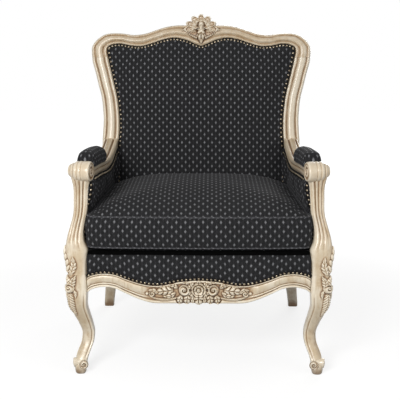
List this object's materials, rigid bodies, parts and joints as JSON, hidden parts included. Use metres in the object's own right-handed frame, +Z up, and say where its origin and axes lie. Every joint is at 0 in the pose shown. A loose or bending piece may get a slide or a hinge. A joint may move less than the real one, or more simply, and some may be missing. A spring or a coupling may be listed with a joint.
{
  "type": "bergere chair",
  "caption": "Upholstered armchair with closed arms, carved serpentine show-wood frame, cabriole front legs and a loose seat cushion.",
  "frame": {"origin": "on the floor, under the middle of the chair's outer box", "axes": "+Z up, the chair faces -Y, +X is on the right of a viewer who faces the chair"},
  "size_m": [0.7694, 0.7354, 1.0072],
  "materials": {
    "painted_wood": "champagne paint over carved wood, darker in the grooves",
    "raw_wood": "bare beech",
    "upholstery": "near-black woven cloth with small grey lozenges",
    "hessian": "plain jute",
    "wadding": "cotton felt",
    "lining": "plain black cloth",
    "spring_steel": "bare wire"
  },
  "bodies": {
    "frame": {"front_leg_left": "painted_wood", "front_leg_right": "painted_wood", "arm_post_left": "painted_wood", "arm_post_right": "painted_wood", "arm_rail_left": "painted_wood", "arm_rail_right": "painted_wood", "rear_post_left": "painted_wood", "rear_post_right": "painted_wood", "crest_rail": "painted_wood", "front_rail": "painted_wood", "side_rail_left": "painted_wood", "side_rail_right": "painted_wood", "back_rail": "raw_wood", "stay_rail": "raw_wood", "front_corner_block_left": "raw_wood", "front_corner_block_right": "raw_wood", "rear_corner_block_left": "raw_wood", "rear_corner_block_right": "raw_wood", "front_border": "upholstery", "inside_arm_left": "upholstery", "inside_arm_right": "upholstery", "outside_arm_left": "upholstery", "outside_arm_right": "upholstery", "arm_pad_left": "upholstery", "arm_pad_right": "upholstery", "inside_back": "upholstery", "outside_back": "upholstery", "seat_webbing_lengthwise_1": "hessian", "seat_webbing_lengthwise_2": "hessian", "seat_webbing_lengthwise_3": "hessian", "seat_webbing_lengthwise_4": "hessian", "seat_webbing_lengthwise_5": "hessian", "seat_webbing_crosswise_1": "hessian", "seat_webbing_crosswise_2": "hessian", "seat_webbing_crosswise_3": "hessian", "seat_webbing_crosswise_4": "hessian", "seat_webbing_crosswise_5": "hessian", "back_webbing_1": "hessian", "back_webbing_2": "hessian", "back_webbing_3": "hessian", "spring_cover": "hessian", "back_hessian": "hessian", "seat_stuffing": "wadding", "seat_deck": "lining", "dust_cover": "lining", "seat_spring_1": "spring_steel", "seat_spring_2": "spring_steel", "seat_spring_3": "spring_steel", "seat_spring_4": "spring_steel", "seat_spring_5": "spring_steel", "seat_spring_6": "spring_steel", "seat_spring_7": "spring_steel", "seat_spring_8": "spring_steel", "seat_spring_9": "spring_steel", "front_corner_screw_left": "spring_steel", "front_corner_screw_right": "spring_steel", "rear_corner_screw_left": "spring_steel", "rear_corner_screw_right": "spring_steel"},
    "cushion": {"seat_cushion": "upholstery"}
  },
  "joints": [
    {"name": "seat_cushion_slide", "type": "slide", "parent": "frame", "child": "cushion", "axis": [0, -1, 0], "range_m": [0, 0.62]}
  ]
}
